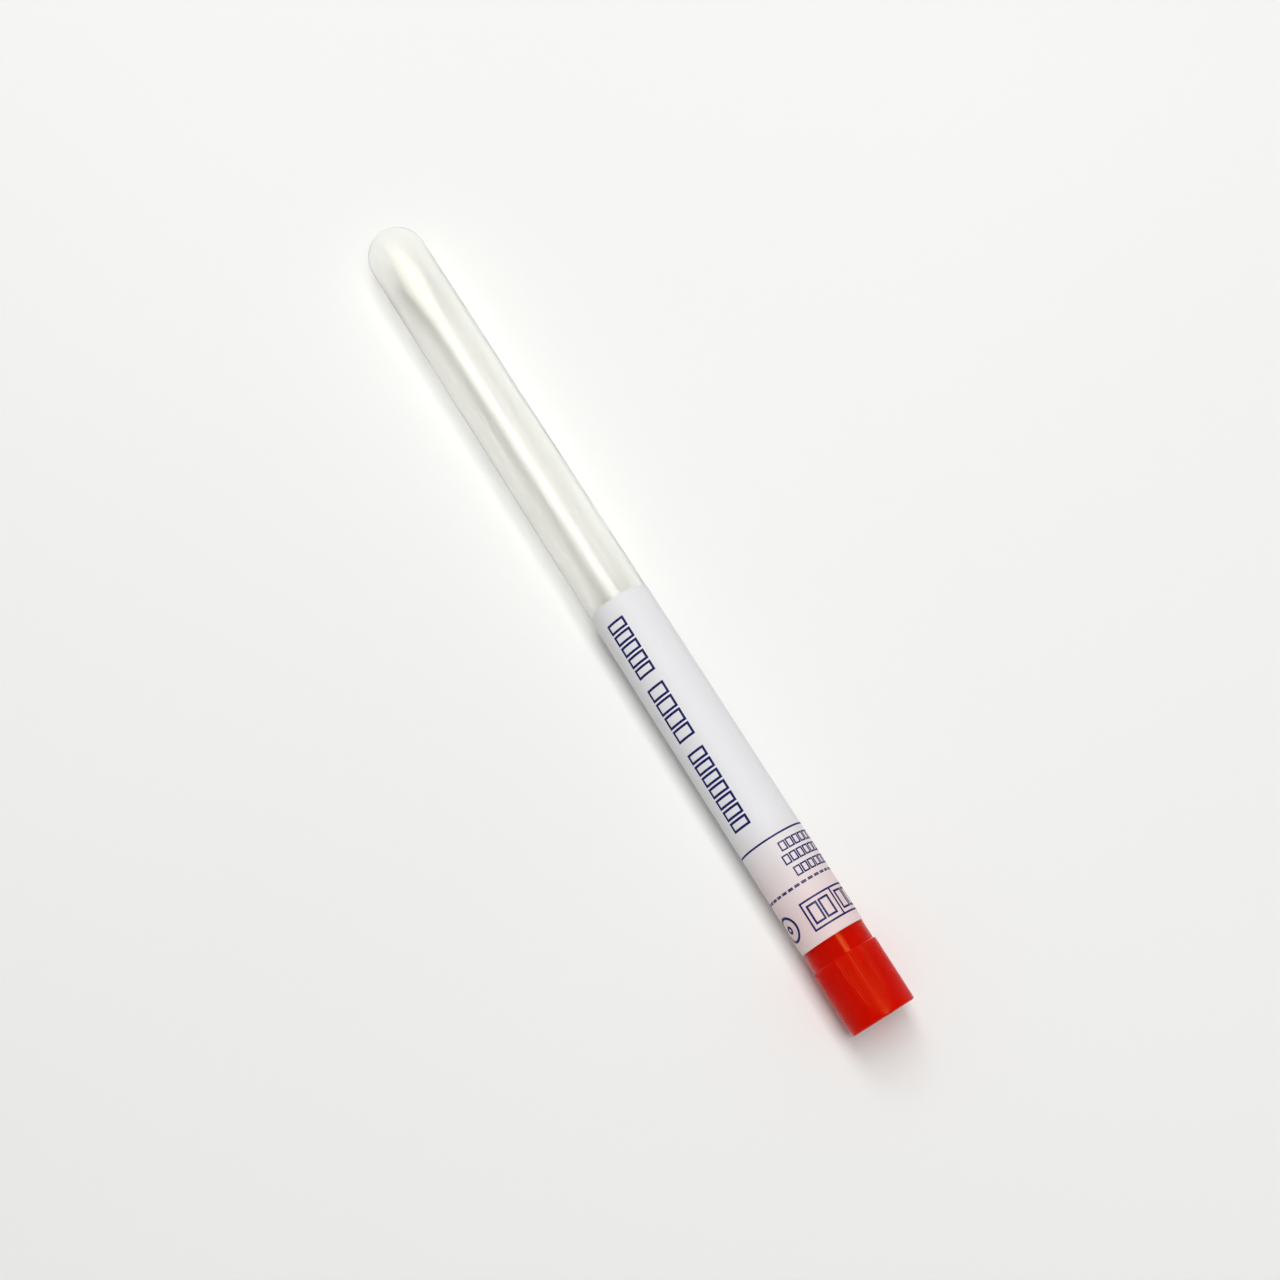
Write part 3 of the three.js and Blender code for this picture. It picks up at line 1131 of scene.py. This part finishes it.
def lay_loose_fibres(points, faces, shape, count, dice):
    """Adds short fine fibres that arch out of the strands, apart from those that come out too short."""
    thin = 0.014 * MM
    shortest = 0.3 * MM
    rooted = 0.05 * MM
    steps = 6
    arch = 0.8 * math.pi
    first, last = shape.tip + 0.1 * MM, shape.neck
    for _ in range(count):
        share, angle = dice.random(), dice.uniform(0, FULL_TURN)
        drift, slope = dice.uniform(-0.5, 0.5), dice.uniform(-1.0, 1.0)
        lift, reach = dice.uniform(0.03, 0.22) * MM, dice.uniform(0.5, 1.6) * MM
        path = []
        for step in range(steps + 1):
            along = step / steps
            station = min(last, max(first, shape.tip + share * shape.length + slope * reach * along))
            radius = shape.radius(station) - rooted + lift * math.sin(arch * along)
            path.append(around(station, max(rooted, radius), angle + drift * along))
        if (path[-1] - path[0]).length > shortest:
            thread(points, faces, path, lambda share: thin, sides=3)


class SWABTUBE_OT_bud(bpy.types.Operator):
    """Build the swab's bud: a core of fibre, the strands wound over it and the loose fibres on it"""

    bl_idname = "swab_tube.bud"
    bl_label = "Bud"

    def execute(self, context):
        settings = context.scene.swab_tube_swab
        shape = BudShape()
        seed = 41
        dice = random.Random(seed)
        sink = 0.35 * settings.strand_width
        points, faces = turned(shape.core(sink), segments=96)
        wind_strands(points, faces, shape, settings, dice)
        lay_loose_fibres(points, faces, shape, settings.loose_fibres, dice)
        mesh = solid_mesh("fibre_bud", points, faces, crease=80)
        bud = place_piece(mesh, wound_viscose(settings), CAP_BODY)
        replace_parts(bud, "swab_bud")
        return {"FINISHED"}


# ---- The stage ----


class StageSettings(bpy.types.PropertyGroup):
    floor_hex: bpy.props.StringProperty(
        name="Floor colour",
        description="sRGB hex colour of the floor",
        default="#F6F6F4",
    )
    lamp_power: bpy.props.FloatProperty(
        name="Lamp power",
        description="Power of the large lamp overhead",
        default=7.65,
        min=0,
        subtype="POWER",
        unit="POWER",
    )
    room_light: bpy.props.FloatProperty(
        name="Room light",
        description="Strength of the even light from all round",
        default=0.3,
        min=0,
    )
    lens: bpy.props.FloatProperty(
        name="Lens",
        description="Focal length on a 36 mm sensor, in millimetres",
        default=49.7,
        subtype="DISTANCE_CAMERA",
    )
    distance: bpy.props.FloatProperty(
        name="Camera distance",
        description="From the camera to what it looks at",
        default=321.1 * MM,
        unit="LENGTH",
        precision=4,
    )
    azimuth: bpy.props.FloatProperty(
        name="Camera azimuth",
        description="Direction of the camera seen from above, from +X towards +Y",
        default=math.radians(-31.34),
        subtype="ANGLE",
        unit="ROTATION",
    )
    elevation: bpy.props.FloatProperty(
        name="Camera elevation",
        description="How high the camera looks down from",
        default=math.radians(72.74),
        subtype="ANGLE",
        unit="ROTATION",
    )


class SWABTUBE_OT_stage(bpy.types.Operator):
    """Build the white floor, the soft lamps overhead, the room's light and the camera"""

    bl_idname = "swab_tube.stage"
    bl_label = "Stage"

    def execute(self, context):
        settings = context.scene.swab_tube_stage
        scene = context.scene
        low, high = CAD_BOX

        mesh = bpy.data.meshes.new("floor_board")
        worked = bmesh.new()
        board_radius = 4.0
        bmesh.ops.create_circle(worked, cap_ends=True, segments=96, radius=board_radius)
        worked.to_mesh(mesh)
        worked.free()
        mesh.materials.append(painted_board(settings))
        floor = bpy.data.objects.new("floor_board", mesh)
        floor.location.z = low[2]
        scene.collection.objects.link(floor)

        # A wide soft box lights everything. Two narrower lamps along it show only as highlights. For
        # each: its width, how far towards +y it hangs, its share of the power, only as highlights or not
        lamps = {
            "soft_box": (0.36, 0.0, 1.0, False),
            "gloss_strip": (0.16, 0.0, 1.9, True),
            "far_strip": (0.02, 0.155, 0.5, True),
        }
        under_box = -0.001
        for name, (width, far, share, gloss_only) in lamps.items():
            lamp = bpy.data.lights.new(name, "AREA")
            lamp.shape = "RECTANGLE"
            lamp.size = LAMP_LENGTH
            lamp.size_y = width
            lamp.energy = settings.lamp_power * share
            holder = bpy.data.objects.new(name, lamp)
            holder.location = LAMP_MIDDLE + Vector((0.0, far, under_box if gloss_only else 0.0))
            holder.visible_diffuse = not gloss_only
            holder.visible_glossy = gloss_only
            holder.visible_transmission = not gloss_only
            scene.collection.objects.link(holder)

        world = bpy.data.worlds.new("pale room")
        world.use_nodes = True
        tree = world.node_tree
        tree.nodes.clear()
        # The room looks as pale as the floor as a background, and lights the object less than that.
        even = {"Color": linear("#FFFFFF"), "Strength": settings.room_light}
        light = add_node(tree, "ShaderNodeBackground", even)
        backdrop = {"Color": linear(settings.floor_hex), "Strength": 1.0}
        pale = add_node(tree, "ShaderNodeBackground", backdrop)
        room = add_node(tree, "ShaderNodeMixShader", {0: background_ray(tree), 1: light, 2: pale})
        add_node(tree, "ShaderNodeOutputWorld", {"Surface": room})
        scene.world = world

        camera = bpy.data.cameras.new("camera")
        camera.lens = settings.lens
        camera.sensor_width = 36.0
        camera.clip_start = 0.01
        # what the camera looks at: how far to the cap's side and the near side of the middle, how high
        capwards, nearer, height = 8.95 * MM, 0.4 * MM, 6.2 * MM
        aim = Vector(((low[0] + high[0]) / 2 + capwards, (low[1] + high[1]) / 2 - nearer, height))
        flat = math.cos(settings.elevation)
        out = Vector(
            (
                flat * math.cos(settings.azimuth),
                flat * math.sin(settings.azimuth),
                math.sin(settings.elevation),
            )
        )
        viewer = bpy.data.objects.new("camera", camera)
        viewer.location = aim + out * settings.distance
        viewer.rotation_euler = (-out).to_track_quat("-Z", "Y").to_euler()
        scene.collection.objects.link(viewer)
        scene.camera = viewer
        scene.view_settings.view_transform = "Standard"
        return {"FINISHED"}


# ---- The add-on ----


class SWABTUBE_PT_build(bpy.types.Panel):
    """The builders of the swab tube and what a user may change"""

    bl_label = "Swab Tube"
    bl_idname = "SWABTUBE_PT_build"
    bl_space_type = "VIEW_3D"
    bl_region_type = "UI"
    bl_category = "Swab Tube"

    def draw(self, context):
        for builders, settings in (
            (("swab_tube.tube",), "swab_tube_tube"),
            (("swab_tube.label", "swab_tube.print"), "swab_tube_label"),
            (("swab_tube.cap",), "swab_tube_cap"),
            (("swab_tube.stick", "swab_tube.bud"), "swab_tube_swab"),
            (("swab_tube.stage",), "swab_tube_stage"),
        ):
            box = self.layout.box()
            group = getattr(context.scene, settings)
            for name in group.__annotations__:
                box.prop(group, name)
            for builder in builders:
                box.operator(builder)


SETTINGS = {
    "swab_tube_tube": TubeSettings,
    "swab_tube_label": LabelSettings,
    "swab_tube_cap": CapSettings,
    "swab_tube_swab": SwabSettings,
    "swab_tube_stage": StageSettings,
}

CLASSES = (
    *SETTINGS.values(),
    SWABTUBE_OT_tube,
    SWABTUBE_OT_label,
    SWABTUBE_OT_print,
    SWABTUBE_OT_cap,
    SWABTUBE_OT_stick,
    SWABTUBE_OT_bud,
    SWABTUBE_OT_stage,
    SWABTUBE_PT_build,
)


def register():
    for made in CLASSES:
        bpy.utils.register_class(made)
    for name, group in SETTINGS.items():
        setattr(bpy.types.Scene, name, bpy.props.PointerProperty(type=group))


def unregister():
    for name in SETTINGS:
        delattr(bpy.types.Scene, name)
    for made in reversed(CLASSES):
        bpy.utils.unregister_class(made)


def main():
    register()
    bpy.ops.swab_tube.tube()
    bpy.ops.swab_tube.label()
    bpy.ops.swab_tube.print()
    bpy.ops.swab_tube.cap()
    bpy.ops.swab_tube.stick()
    bpy.ops.swab_tube.bud()
    bpy.ops.swab_tube.stage()


if __name__ == "__main__":
    main()
